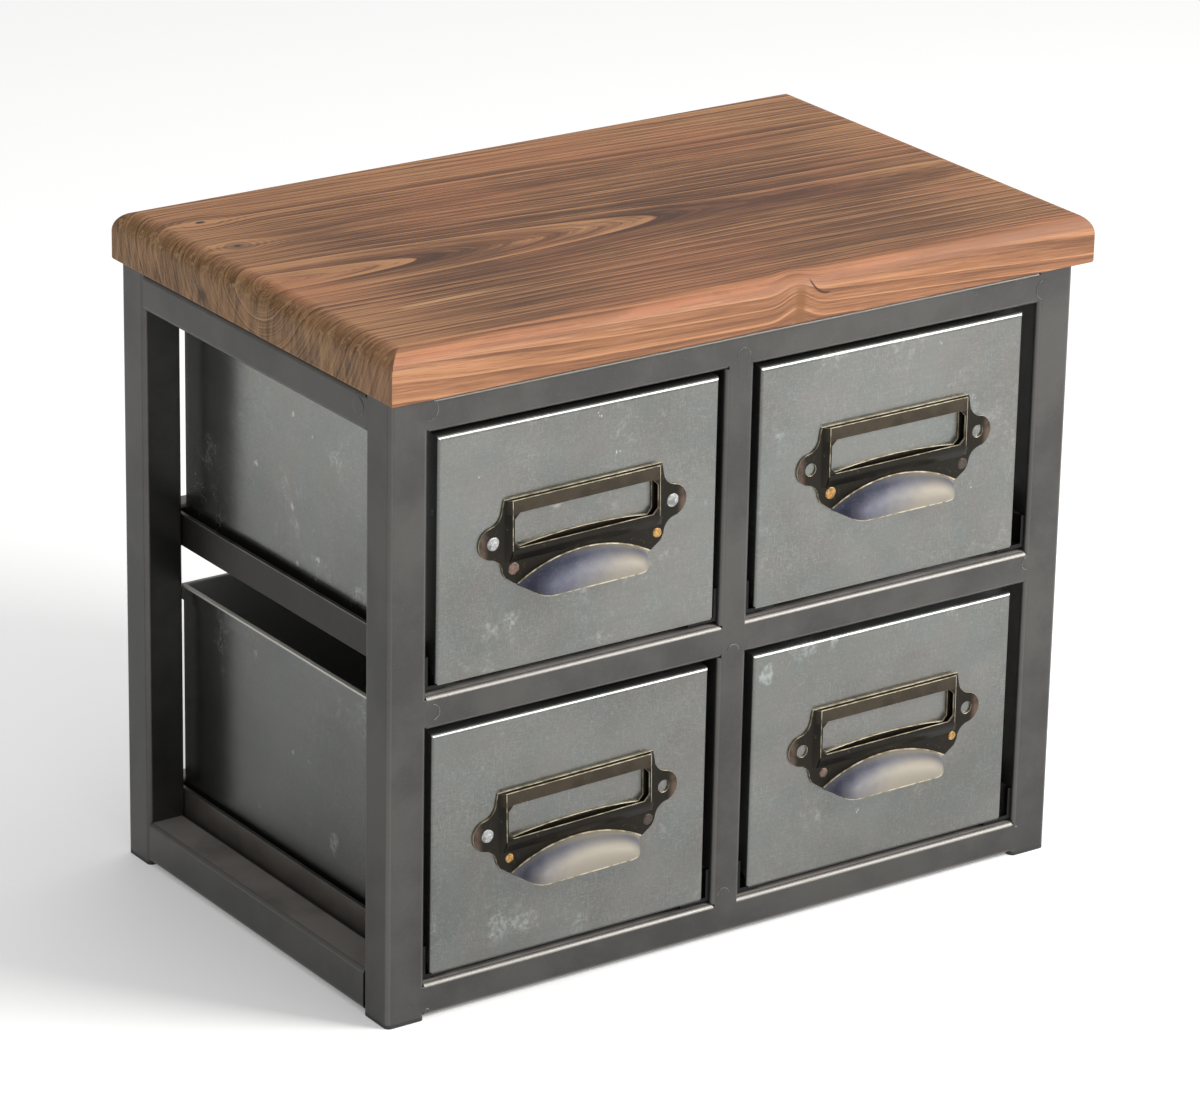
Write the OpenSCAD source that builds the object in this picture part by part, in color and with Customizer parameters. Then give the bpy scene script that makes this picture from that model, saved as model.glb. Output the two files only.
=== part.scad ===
// Small four-drawer cabinet: a welded square-tube frame, a stained softwood board on top,
// and four folded sheet-metal drawers with stamped label-holder cup pulls.
// Millimetres, +Z up, +Y from the drawer fronts to the back, +X to the right.
// The origin is the centre of the whole object's footprint, on the floor.

/* [Frame] */
// Width of the welded frame over the posts
frame_w = 300; // [280:1:330]
// Depth of the welded frame over the posts
frame_d = 184; // [176:1:220]
// Height of the frame from the floor to the underside of the board
frame_h = 236.5; // [233:0.5:260]
// Side of the square tube used for the posts and the bottom side rails
post_s = 16; // [15:0.5:18]
// Height of the side top rails
side_top_h = 14; // [13:0.5:15]
// Side of the lighter square tube used for the front rails and stiles
rail_s = 12.7; // [12:0.1:14]
// Depth of the flat tube used for the rear rails
rear_rail_d = 9.5; // [8:0.5:9.5]
// Wall thickness of the tubes
tube_t = 1.2; // [0.8:0.1:1.6]
// Outside corner radius of the tubes
tube_r = 2; // [1.7:0.1:2.5]
// How far the centre stiles stand to the left of the middle
divider_shift = 1.6; // [0:0.1:1.8]

/* [Foot caps] */
// Thickness of the flange that each post stands on
cap_flange = 1.5; // [1:0.1:3]
// Length of the plug inside the post
cap_plug = 10; // [6:1:16]

/* [Runners] */
// Leg of the angle section
runner_leg = 12.7; // [11:0.1:13]
// Thickness of the angle section
runner_t = 1.5; // [1:0.1:1.6]
// Height of the lower runners' underside above the floor
runner_z = 15.4; // [15:0.1:15.8]

/* [Drawers] */
// Width of a drawer over its front
drawer_w = 119.5; // [118:0.1:119.8]
// Height of a drawer front
drawer_h = 92.4; // [90:0.1:93]
// Depth of a drawer from its front to the hem behind its back wall
drawer_d = 174.1; // [150:0.1:174.2]
// Thickness of the galvanised sheet
sheet = 0.8; // [0.6:0.1:0.9]
// Height between the bottoms of the lower and the upper drawers
drawer_pitch = 111.6; // [111.2:0.1:112]
// Outside radius of the fold along the top of a drawer front
fold_r = 2; // [1.5:0.1:3]
// Depth of the flanges folded back from a drawer front
flange_d = 10; // [6:0.5:14]
// Height of the hem folded outwards along the top of the tray walls
hem_h = 6; // [4:0.5:10]
// Clearance between a tray and the runners under it
slide_gap = 0.3; // [0.2:0.05:0.5]
// Slack of the upper left drawer from the middle of its bay
slack_ul = 0.4; // [-1:0.1:1]
// Slack of the upper right drawer from the middle of its bay
slack_ur = -2; // [-2.2:0.1:1]
// Slack of the lower left drawer from the middle of its bay
slack_ll = -1; // [-1.1:0.1:1]
// Slack of the lower right drawer from the middle of its bay
slack_lr = -1.4; // [-2.2:0.1:1]

/* [Pulls] */
// Distance between the centres of the two ear holes
ear_span = 76.8; // [74:0.2:80]
// Diameter of the ear holes
ear_hole_d = 4.8; // [3:0.2:5.4]
// Height of the ear holes above the underside of the tray
pull_z = 50.1; // [40:0.1:60]
// How far the pull sits to the right of the middle of the drawer
pull_shift = 1.6; // [0:0.1:4]
// Thickness of the stamped sheet
pull_t = 0.8; // [0.6:0.1:1]
// How far the front of the label bezel stands off the drawer
bezel_out = 3; // [2.6:0.1:4]
// Width of the window for the label
window_w = 61.2; // [58:0.2:61.2]
// Height of the window for the label
window_h = 13.4; // [12:0.1:13.6]
// How far the finger cup stands off the drawer
cup_out = 10; // [8:0.5:12]
// Half width of the finger cup where it meets the drawer
cup_half_w = 28; // [26:0.5:28]
// Half width of the straight front edge of the finger cup
cup_front_w = 22; // [18:0.2:23]

/* [Board] */
// Thickness of the board
board_t = 19; // [18:0.5:25]
// Overhang of the board past the front of the frame
board_front = 2.2; // [0:0.1:6]
// Overhang of the board past the left posts
board_left = 0.6; // [0.2:0.1:10]
// Overhang of the board past the right posts
board_right = 7.6; // [0.2:0.1:12]
// Overhang of the board past the rear posts
board_rear = 5.6; // [0:0.2:10]
// Radius along the upper edges of the board
board_r = 8; // [3:0.5:9]
// Radius along the lower edges of the board
board_ease = 1; // [0.5:0.1:2]

/* [Hidden] */
$fn = 48;

steel = "#4d4f50";
dark_steel = "#3d3c3b";
galvanised = "#8f928d";
bronze = "#4a4438";
wood = "#a8683f";
plastic = "#222323";
zinc = "#b9bbb8";
weld = "#6a6b6a";
spot_weld = "#c08a4a";

// The frame, from its front left bottom corner
bottom_z = cap_flange;
middle_z = (bottom_z + frame_h - rail_s) / 2;
top_z = frame_h - rail_s;
stile_x = frame_w / 2 - divider_shift - rail_s / 2;
rear_y = frame_d - post_s;
rear_rail_y = frame_d - rear_rail_d;

// Each bay is the clear width between a post and the centre stiles. The drawers are numbered
// upper left, upper right, lower left, lower right.
left_bay = [post_s, stile_x];
right_bay = [stile_x + rail_s, frame_w - post_s];
bays = [left_bay, right_bay, left_bay, right_bay];
slacks = [slack_ul, slack_ur, slack_ll, slack_lr];
levels = [1, 1, 0, 0];

// The tray rides on the runners' legs, and the front stands on the edge of the tray's bottom
drawer_z = runner_z + runner_t + slide_gap;
runner_y = 2;
rear_middle_z = runner_z + drawer_pitch - 2;
rear_bottom_z = runner_z - 2;

// The pull, from the middle of the line between its ear holes
ear_r = 6.1;
fillet_r = 5.95;
plate_half_w = 34.5;
plate_top_half_w = 33.7;
plate_top = 15.4;
plate_corner = [34, -12.8];
plate_low = [32, -15];
plate_tip = [29.3, -16.9];
bezel_half_w = 31.5;
bezel_foot = 33.6;
bezel_top = 15.3;
window_bottom = -3;
window_chamfer = 2.2;
slope_bottom = -8.4;
back_window_half_w = 29.2;
back_window = [-3, 12.5];
back_window_rise = 1.8;
back_window_chamfer = 2;
cup_top = -9.4;
cup_side = -16.9;
cup_rise = cup_top - cup_side;
cup_r = (cup_half_w * cup_half_w + cup_rise * cup_rise) / (2 * cup_rise);
cup_side_rim = -18;
cup_front_rim = -20.8;
cup_corner_r = 7;
spot_r = 2;
spot_t = 0.3;
ear_plug_r = ear_hole_d / 2 - 0.1;

// Where each pull sits against its nominal place: right, up, and turned anticlockwise in degrees
pull_places = [[-0.1, -0.4, 1], [0, 0, 0.3], [0.4, -0.1, 1.3], [-0.1, 0.5, 0.4]];
// Brazed spots in the lower corners of each pull
lower_spots = [
    [[-29.8, -11], [31.7, -11]], [[-29, -10.9], [31.7, -11.4]],
    [[-29.1, -11], [31.4, -11.4]], [[-28.2, -11], [31.8, -10.7]]
];
// Ear holes filled with weld metal, left and right on each drawer; the others are open
plugged = [[true, true], [false, false], [true, false], [false, false]];

// Wood screws through the side top rails
screw_r = 1.9;
screw_head_r = 3.6;
screw_head_h = 2.2;
screw_bite = 13;
screw_ys = [frame_d * 0.25, frame_d * 0.75];

// Ground weld spots on the front, where the rails and stiles meet the posts and each other
weld_r = 3.6;
weld_t = 0.2;
stile_mid = stile_x + rail_s / 2;
middle_mid = middle_z + rail_s / 2;
front_spots = [
    [post_s - 0.2, frame_h - 4.1, 3.9], [stile_mid + 1, top_z + 4.4, 2.8],
    [frame_w - post_s + 2.8, frame_h - 7.4, 3.9],
    [post_s + 2.3, middle_mid + 0.1, 3], [stile_mid + 0.1, middle_z + 1.9, 2.5],
    [frame_w - post_s + 0.9, middle_mid + 1.9, 2.7],
    [post_s + 1.1, bottom_z + 2.2, 1], [stile_mid - 1.2, bottom_z + rail_s + 3.3, 2.6],
    [frame_w - post_s + 1.7, bottom_z + 10.1, 0.8]
];

// Whole footprint, which sets the origin
board_w = board_left + frame_w + board_right;
board_d = board_front + frame_d + board_rear;
front_reach = cup_out;
origin_x = board_w / 2 - board_left;
origin_y = (frame_d + board_rear - front_reach) / 2;

module placed() {
    translate([-origin_x, -origin_y, 0]) children();
}

// A rectangle with round corners, its lower left corner at the origin
module round_rect(w, d, r) {
    translate([r, 0]) square([w - 2 * r, d]);
    translate([0, r]) square([w, d - 2 * r]);
    for (x = [r, w - r], y = [r, d - r]) translate([x, y]) circle(r);
}

// A length of tube standing on its lower left corner
module tube(w, d, length) {
    linear_extrude(length) difference() {
        round_rect(w, d, tube_r);
        translate([tube_t, tube_t]) round_rect(w - 2 * tube_t, d - 2 * tube_t, tube_r - tube_t);
    }
}

// A tube that runs across, with its depth and height
module tube_x(d, h, length) {
    translate([0, 0, h]) rotate([0, 90, 0]) tube(h, d, length);
}

// A tube that runs from front to back, with its width and height
module tube_y(w, h, length) {
    translate([0, length, 0]) rotate([90, 0, 0]) tube(w, h, length);
}

module post(x, y) {
    color(steel) placed() translate([x, y, bottom_z]) tube(post_s, post_s, frame_h - bottom_z);
}

// A flange as wide as the post, with a hollow plug that goes up inside it
module foot_cap(x, y) {
    fit = 0.05;
    plug_s = post_s - 2 * (tube_t + fit);
    plug_r = tube_r - tube_t;
    color(plastic) placed() translate([x, y, 0]) {
        linear_extrude(cap_flange) round_rect(post_s, post_s, tube_r);
        translate([tube_t + fit, tube_t + fit, cap_flange]) difference() {
            linear_extrude(cap_plug) round_rect(plug_s, plug_s, plug_r);
            translate([2, 2, 1]) linear_extrude(cap_plug) round_rect(plug_s - 4, plug_s - 4, plug_r);
        }
    }
}

module front_rail(z) {
    color(steel) placed() translate([post_s, 0, z]) tube_x(rail_s, rail_s, frame_w - 2 * post_s);
}

module stile(z0, z1) {
    color(steel) placed() translate([stile_x, 0, z0]) tube(rail_s, rail_s, z1 - z0);
}

module side_rail(x, z) {
    color(steel) placed() translate([x, post_s, z]) tube_y(post_s, post_s, frame_d - 2 * post_s);
}

// A side top rail has two holes for the screws that hold the board
module side_top_rail(x) {
    color(steel) placed() difference() {
        translate([x, post_s, frame_h - side_top_h]) tube_y(post_s, side_top_h, frame_d - 2 * post_s);
        for (y = screw_ys) translate([x + post_s / 2, y, frame_h - side_top_h - 1])
            cylinder(r = screw_r + 0.3, h = side_top_h + 2);
    }
}

module rear_rail(z) {
    color(steel) placed() translate([post_s, rear_rail_y, z]) tube_x(rear_rail_d, post_s, frame_w - 2 * post_s);
}

// An angle whose upright leg is at x, and whose other leg points to side (1 right, -1 left)
module runner(x, side, level) {
    z = runner_z + level * drawer_pitch;
    color(dark_steel) placed() translate([x, runner_y, z]) mirror([side < 0 ? 1 : 0, 0, 0]) {
        cube([runner_leg, rear_rail_y - runner_y, runner_t]);
        cube([runner_t, rear_rail_y - runner_y, runner_leg]);
    }
}

// Ground weld spots, thin discs across the seams on the outer faces
module weld_front(x, z, r) {
    translate([x, 0, z]) rotate([90, 0, 0]) cylinder(r = r, h = weld_t);
}

module weld_left(y, z) {
    translate([0, y, z]) rotate([0, -90, 0]) cylinder(r = weld_r, h = weld_t);
}

module weld_back(x, z) {
    translate([x, frame_d, z]) rotate([-90, 0, 0]) cylinder(r = weld_r, h = weld_t);
}

module frame_welds() {
    post_mid = post_s / 2;
    color(weld) placed() {
        for (p = front_spots) weld_front(p[0], p[1], p[2]);
        weld_left(post_s + 4.7, frame_h - post_mid + 2.2);
        translate([frame_w + weld_t, 0, 0]) weld_left(post_s + 4.7, frame_h - post_mid + 2.2);
        for (x = [post_s, frame_w - post_s], z = [rear_bottom_z, rear_middle_z, frame_h - post_s])
            weld_back(x, z + post_mid);
    }
}

// Board outline across one of its ends: round above, eased below
module board_end(length) {
    translate([board_r, 0]) square([length - 2 * board_r, board_t]);
    translate([0, board_ease]) square([length, board_t - board_ease - board_r]);
    for (x = [board_r, length - board_r]) translate([x, board_t - board_r]) circle(board_r);
    for (x = [board_ease, length - board_ease]) translate([x, board_ease]) circle(board_ease);
    translate([board_ease, 0]) square([length - 2 * board_ease, board_t - board_r]);
}

module wood_top() {
    pilot_r = screw_r + 0.05;
    color(wood) placed() translate([-board_left, -board_front, frame_h]) difference() {
        intersection() {
            translate([0, board_d, 0]) rotate([90, 0, 0]) linear_extrude(board_d) board_end(board_w);
            rotate([90, 0, 90]) linear_extrude(board_w) board_end(board_d);
        }
        for (x = [post_s / 2, frame_w - post_s / 2], y = screw_ys)
            translate([x + board_left, y + board_front, -1]) cylinder(r = pilot_r, h = screw_bite + 1.2);
    }
}

// A pan-head screw that points up, with a cross recess in its head
module screw() {
    point = 3;
    length = side_top_h + screw_bite;
    difference() {
        translate([0, 0, -screw_head_h])
            cylinder(r1 = screw_head_r - 0.6, r2 = screw_head_r, h = screw_head_h);
        for (a = [0, 90]) rotate(a) translate([-2, -0.4, -screw_head_h - 1]) cube([4, 0.8, 2]);
    }
    cylinder(r = screw_r, h = length - point);
    translate([0, 0, length - point]) cylinder(r1 = screw_r, r2 = 0.3, h = point);
}

module top_screws() {
    color(zinc) placed() for (x = [post_s / 2, frame_w - post_s / 2], y = screw_ys)
        translate([x, y, frame_h - side_top_h]) screw();
}

// Puts what follows at drawer i's front left bottom corner
module at_drawer(i) {
    bay = bays[i];
    x = (bay[0] + bay[1] - drawer_w) / 2 + slacks[i];
    placed() translate([x, 0, drawer_z + levels[i] * drawer_pitch]) children();
}

// The tray: bottom, two sides and back, hemmed outwards along the top, with corner tabs inside
module drawer_tray(i) {
    inner_w = drawer_w - 2 * sheet;
    back = drawer_d - sheet;
    hem_z = drawer_h - hem_h;
    tab = 9;
    color(galvanised) at_drawer(i) {
        translate([sheet, sheet / 2, 0]) cube([inner_w, back - sheet / 2, sheet]);
        for (x = [sheet, drawer_w - 2 * sheet])
            translate([x, fold_r, 0]) cube([sheet, back - fold_r, drawer_h]);
        translate([sheet, back - sheet, 0]) cube([inner_w, sheet, drawer_h]);
        for (x = [0, drawer_w - sheet])
            translate([x, flange_d, hem_z]) cube([sheet, drawer_d - flange_d, hem_h]);
        translate([0, back, hem_z]) cube([drawer_w, sheet, hem_h]);
        for (x = [2 * sheet, drawer_w - 3 * sheet])
            translate([x, back - tab, sheet / 2]) cube([sheet, tab, drawer_h - 1.5 * sheet]);
    }
}

// A block with its upper front and its two upright front edges rounded
module pan_block(w, d, h, top_r, side_r) {
    intersection() {
        rotate([90, 0, 90]) linear_extrude(w) {
            square([d, h - top_r]);
            translate([top_r, 0]) square([d - top_r, h]);
            translate([top_r, h - top_r]) circle(top_r);
        }
        linear_extrude(h) {
            translate([0, side_r]) square([w, d - side_r]);
            translate([side_r, 0]) square([w - 2 * side_r, d]);
            for (x = [side_r, w - side_r]) translate([x, side_r]) circle(side_r);
        }
    }
}

// The front: a pan folded back along its top and sides, with a flange that lies in the tray
module drawer_front(i) {
    side_r = 1.2;
    low_cut = 11;
    inset = 3 * sheet;
    color(galvanised) at_drawer(i) translate([0, 0, sheet]) {
        difference() {
            pan_block(drawer_w, flange_d, drawer_h, fold_r, side_r);
            translate([sheet, sheet, -1]) pan_block(drawer_w - 2 * sheet, flange_d,
                                                    drawer_h + 1 - sheet, fold_r - sheet, side_r - sheet);
            translate([-1, sheet + 0.4, -0.01]) rotate([90, 0, 90]) linear_extrude(drawer_w + 2)
                polygon([[0, 0], [flange_d, 0], [flange_d, low_cut], [0, 2.4]]);
        }
        translate([inset, sheet / 2, 0]) cube([drawer_w - 2 * inset, flange_d - sheet / 2, sheet]);
    }
}

// Puts what follows on the drawer's face, with x across, y out of the face and z up
module at_pull(i) {
    place = pull_places[i];
    at_drawer(i) translate([drawer_w / 2 + pull_shift + place[0], 0, pull_z + place[1]])
        rotate([0, -place[2], 0]) mirror([0, 1, 0]) children();
}

// Stands a flat outline up on the drawer's face, from y0 outwards
module upright(y0, t) {
    translate([0, y0 + t, 0]) rotate([90, 0, 0]) linear_extrude(t) children();
}

module ear_outline() {
    dx = plate_half_w + fillet_r - ear_span / 2;
    dz = sqrt(pow(ear_r + fillet_r, 2) - dx * dx);
    difference() {
        union() {
            polygon([[0, dz], [plate_half_w, dz], [ear_span / 2 + dx * 0.52, dz * 0.48],
                     [ear_span / 2 + dx * 0.52, -dz * 0.48], [plate_half_w, -dz], [0, -dz]]);
            translate([ear_span / 2, 0]) circle(ear_r);
        }
        for (s = [-1, 1]) translate([plate_half_w + fillet_r, s * dz]) circle(fillet_r);
    }
}

// The opening in the plate behind the window, arched along its lower edge
module back_outline() {
    w = back_window_half_w;
    c = back_window_chamfer;
    z0 = back_window[0];
    polygon(concat(
        [[w, z0 + c], [w, back_window[1]], [-w, back_window[1]], [-w, z0 + c]],
        [for (k = [-6:6]) [(w - c) * k / 6, z0 + back_window_rise * (1 - k * k / 36)]]));
}

module plate_outline() {
    difference() {
        for (s = [0, 1]) mirror([s, 0]) {
            ear_outline();
            polygon([[0, plate_top], [plate_top_half_w, plate_top], [plate_half_w, 11], [plate_half_w, -9],
                     plate_corner, plate_low, plate_tip, [0, plate_tip[1]]]);
        }
        translate([0, cup_top - cup_r]) circle(cup_r, $fn = 180);
        for (s = [-1, 1]) translate([s * ear_span / 2, 0]) circle(d = ear_hole_d);
        back_outline();
    }
}

// The window, with its corners cut off
module window_outline() {
    hw = window_w / 2;
    z0 = window_bottom;
    z1 = window_bottom + window_h;
    c = window_chamfer;
    polygon([[-hw + c, z0], [hw - c, z0], [hw, z0 + c], [hw, z1 - c], [hw - c, z1],
             [-hw + c, z1], [-hw, z1 - c], [-hw, z0 + c]]);
}

// Ear plate with a raised bezel that leaves a slot open at the top for the card. The bezel's sides
// slant down to the plate, and its lower edge slopes back to it.
module label_plate(i) {
    side = [[pull_t, slope_bottom], [bezel_out, window_bottom - pull_t], [bezel_out, bezel_top],
            [pull_t, bezel_top]];
    slope = [[pull_t, slope_bottom], [bezel_out, window_bottom - pull_t], [bezel_out, window_bottom],
             [bezel_out - pull_t, window_bottom], [bezel_out - pull_t, window_bottom - pull_t * 0.8],
             [pull_t, slope_bottom + 1.8]];
    slant = [[bezel_foot, pull_t], [bezel_half_w, bezel_out], [bezel_half_w - pull_t, bezel_out],
             [bezel_half_w - pull_t, bezel_out - pull_t], [bezel_foot - pull_t * 1.4, pull_t]];
    color(bronze) at_pull(i) {
        upright(0, pull_t) plate_outline();
        upright(bezel_out - pull_t, pull_t) difference() {
            translate([-bezel_half_w, window_bottom]) square([2 * bezel_half_w, bezel_top - window_bottom]);
            window_outline();
        }
        for (s = [0, 1]) mirror([s, 0, 0]) intersection() {
            translate([0, 0, slope_bottom]) linear_extrude(bezel_top - slope_bottom) polygon(slant);
            rotate([90, 0, 90]) linear_extrude(bezel_foot + 1) polygon(side);
        }
        translate([-bezel_half_w, 0, 0]) rotate([90, 0, 90])
            linear_extrude(2 * bezel_half_w) polygon(slope);
    }
}

// The finger cup is a shell between an arched crease on the drawer's face and a lower rim.
// Seen from above, the rim runs out along a slanted side, round a corner and straight across.
cup_across = 28;
cup_down = 6;

function mix(a, b, t) = a * (1 - t) + b * t;

// Corner of the rim's plan that the round part replaces, and the points where it starts and ends
function rim_corner(front_w, out) = [front_w, out];
function rim_side_dir(half_w, front_w, out) = [half_w - front_w, -out] / norm([half_w - front_w, -out]);
function rim_cut(half_w, front_w, out) =
    let (turn = 90 - atan((half_w - front_w) / out)) cup_corner_r * tan(turn / 2);

// Plan of the rim at s from 0, at the wall, to 1, in the middle of the front
function rim_plan(s, half_w, front_w, out) =
    let (corner = rim_corner(front_w, out), dir = rim_side_dir(half_w, front_w, out),
         cut = rim_cut(half_w, front_w, out), start = corner + dir * cut,
         end = corner - [cut, 0], a = 0.35, b = 0.6)
    s < a ? mix([half_w, 0], start, s / a)
    : s < b ? let (t = (s - a) / (b - a))
        start * pow(1 - t, 2) + corner * 2 * t * (1 - t) + end * pow(t, 2)
    : mix(end, [0, out], (s - b) / (1 - b));

function crease_z(x, r, top) = top - r + sqrt(r * r - x * x);

// One point of the shell: u across from -1 to 1, v from the crease, 0, to the rim, 1
function cup_point(u, v, inset) =
    let (s = 1 - abs(u), side = u < 0 ? -1 : 1, half_w = cup_half_w - inset,
         plan = rim_plan(s, half_w, cup_front_w - inset, cup_out - inset),
         cx = half_w * sin(90 * abs(u)), cz = crease_z(cx, cup_r, cup_top - inset),
         rz = mix(cup_side_rim, cup_front_rim, plan[1] / (cup_out - inset)),
         p0 = [cx, 0, cz], p3 = [plan[0], plan[1], rz],
         p1 = [mix(cx, plan[0], 0.4), plan[1] * 0.62, cz - 0.12 * (cz - rz)],
         p2 = [plan[0], plan[1], mix(rz, cz, 0.5)],
         p = p0 * pow(1 - v, 3) + p1 * 3 * v * pow(1 - v, 2) + p2 * 3 * v * v * (1 - v) + p3 * pow(v, 3))
    [side * p[0], p[1], p[2]];

function cup_grid(inset) =
    [for (i = [0:cup_across], j = [0:cup_down]) cup_point(2 * i / cup_across - 1, j / cup_down, inset)];

// Two triangles of a quad, wound one way or the other
function quad(a, b, c, d, flip) = flip ? [[a, c, b], [a, d, c]] : [[a, b, c], [a, c, d]];

module cup_shell() {
    row = cup_down + 1;
    inner = (cup_across + 1) * row;
    faces = [
        for (i = [0:cup_across - 1], j = [0:cup_down - 1])
            let (a = i * row + j) each quad(a, a + 1, a + row + 1, a + row, true),
        for (i = [0:cup_across - 1], j = [0:cup_down - 1])
            let (a = inner + i * row + j) each quad(a, a + 1, a + row + 1, a + row, false),
        for (i = [0:cup_across - 1])
            let (a = i * row) each quad(a, a + row, inner + a + row, inner + a, true),
        for (i = [0:cup_across - 1])
            let (a = i * row + cup_down) each quad(a, a + row, inner + a + row, inner + a, false),
        for (j = [0:cup_down - 1]) each quad(j, j + 1, inner + j + 1, inner + j, false),
        for (j = [0:cup_down - 1])
            let (a = cup_across * row + j) each quad(a, a + 1, inner + a + 1, inner + a, true)
    ];
    polyhedron(points = concat(cup_grid(0), cup_grid(pull_t)), faces = faces, convexity = 6);
}

module finger_cup(i) {
    color(bronze) at_pull(i) cup_shell();
}

// Brazed spots at the plate's lower corners, and weld metal in the ear holes that are filled
module pull_welds(i) {
    color(spot_weld) at_pull(i) for (s = [-1, 1]) {
        spot = lower_spots[i][s < 0 ? 0 : 1];
        translate([spot[0], pull_t, spot[1]]) rotate([-90, 0, 0]) cylinder(r = spot_r, h = spot_t);
        if (plugged[i][s < 0 ? 0 : 1]) translate([s * ear_span / 2, 0, 0]) rotate([-90, 0, 0])
            cylinder(r = ear_plug_r, h = pull_t - 0.1);
    }
}

post(0, 0);  // front_left_post
post(frame_w - post_s, 0);  // front_right_post
post(0, rear_y);  // rear_left_post
post(frame_w - post_s, rear_y);  // rear_right_post
foot_cap(0, 0);  // front_left_foot_cap
foot_cap(frame_w - post_s, 0);  // front_right_foot_cap
foot_cap(0, rear_y);  // rear_left_foot_cap
foot_cap(frame_w - post_s, rear_y);  // rear_right_foot_cap
front_rail(top_z);  // front_top_rail
front_rail(middle_z);  // front_middle_rail
front_rail(bottom_z);  // front_bottom_rail
stile(middle_z + rail_s, top_z);  // upper_stile
stile(bottom_z + rail_s, middle_z);  // lower_stile
side_top_rail(0);  // left_top_rail
side_top_rail(frame_w - post_s);  // right_top_rail
side_rail(0, bottom_z);  // left_bottom_rail
side_rail(frame_w - post_s, bottom_z);  // right_bottom_rail
rear_rail(frame_h - post_s);  // rear_top_rail
rear_rail(rear_middle_z);  // rear_middle_rail
rear_rail(rear_bottom_z);  // rear_bottom_rail
runner(left_bay[0], 1, 1);  // upper_left_outer_runner
runner(left_bay[1], -1, 1);  // upper_left_inner_runner
runner(right_bay[0], 1, 1);  // upper_right_inner_runner
runner(right_bay[1], -1, 1);  // upper_right_outer_runner
runner(left_bay[0], 1, 0);  // lower_left_outer_runner
runner(left_bay[1], -1, 0);  // lower_left_inner_runner
runner(right_bay[0], 1, 0);  // lower_right_inner_runner
runner(right_bay[1], -1, 0);  // lower_right_outer_runner
frame_welds();
wood_top();
top_screws();
drawer_tray(0);  // upper_left_drawer_tray
drawer_front(0);  // upper_left_drawer_front
label_plate(0);  // upper_left_label_plate
finger_cup(0);  // upper_left_finger_cup
pull_welds(0);  // upper_left_pull_welds
drawer_tray(1);  // upper_right_drawer_tray
drawer_front(1);  // upper_right_drawer_front
label_plate(1);  // upper_right_label_plate
finger_cup(1);  // upper_right_finger_cup
pull_welds(1);  // upper_right_pull_welds
drawer_tray(2);  // lower_left_drawer_tray
drawer_front(2);  // lower_left_drawer_front
label_plate(2);  // lower_left_label_plate
finger_cup(2);  // lower_left_finger_cup
pull_welds(2);  // lower_left_pull_welds
drawer_tray(3);  // lower_right_drawer_tray
drawer_front(3);  // lower_right_drawer_front
label_plate(3);  // lower_right_label_plate
finger_cup(3);  // lower_right_finger_cup
pull_welds(3);  // lower_right_pull_welds
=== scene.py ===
import math
import random

import bpy
from mathutils import Matrix, Vector


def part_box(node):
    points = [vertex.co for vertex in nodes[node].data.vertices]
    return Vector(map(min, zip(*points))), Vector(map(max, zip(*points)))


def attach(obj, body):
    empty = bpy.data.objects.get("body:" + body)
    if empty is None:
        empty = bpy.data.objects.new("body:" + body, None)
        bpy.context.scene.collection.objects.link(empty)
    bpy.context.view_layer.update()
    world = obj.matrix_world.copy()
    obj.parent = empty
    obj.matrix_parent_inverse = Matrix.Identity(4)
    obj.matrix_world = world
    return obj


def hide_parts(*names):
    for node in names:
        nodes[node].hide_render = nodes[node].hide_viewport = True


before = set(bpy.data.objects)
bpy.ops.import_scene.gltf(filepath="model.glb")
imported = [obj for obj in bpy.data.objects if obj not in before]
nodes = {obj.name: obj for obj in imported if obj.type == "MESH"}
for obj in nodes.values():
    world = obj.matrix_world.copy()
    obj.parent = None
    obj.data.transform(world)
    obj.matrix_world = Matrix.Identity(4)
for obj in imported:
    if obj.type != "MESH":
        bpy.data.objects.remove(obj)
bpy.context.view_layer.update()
drawers = ["upper_left", "upper_right", "lower_left", "lower_right"]
mm = 0.001
print("stage 1: frame loaded")


def grey(level):
    return (level,) * 3


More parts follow.
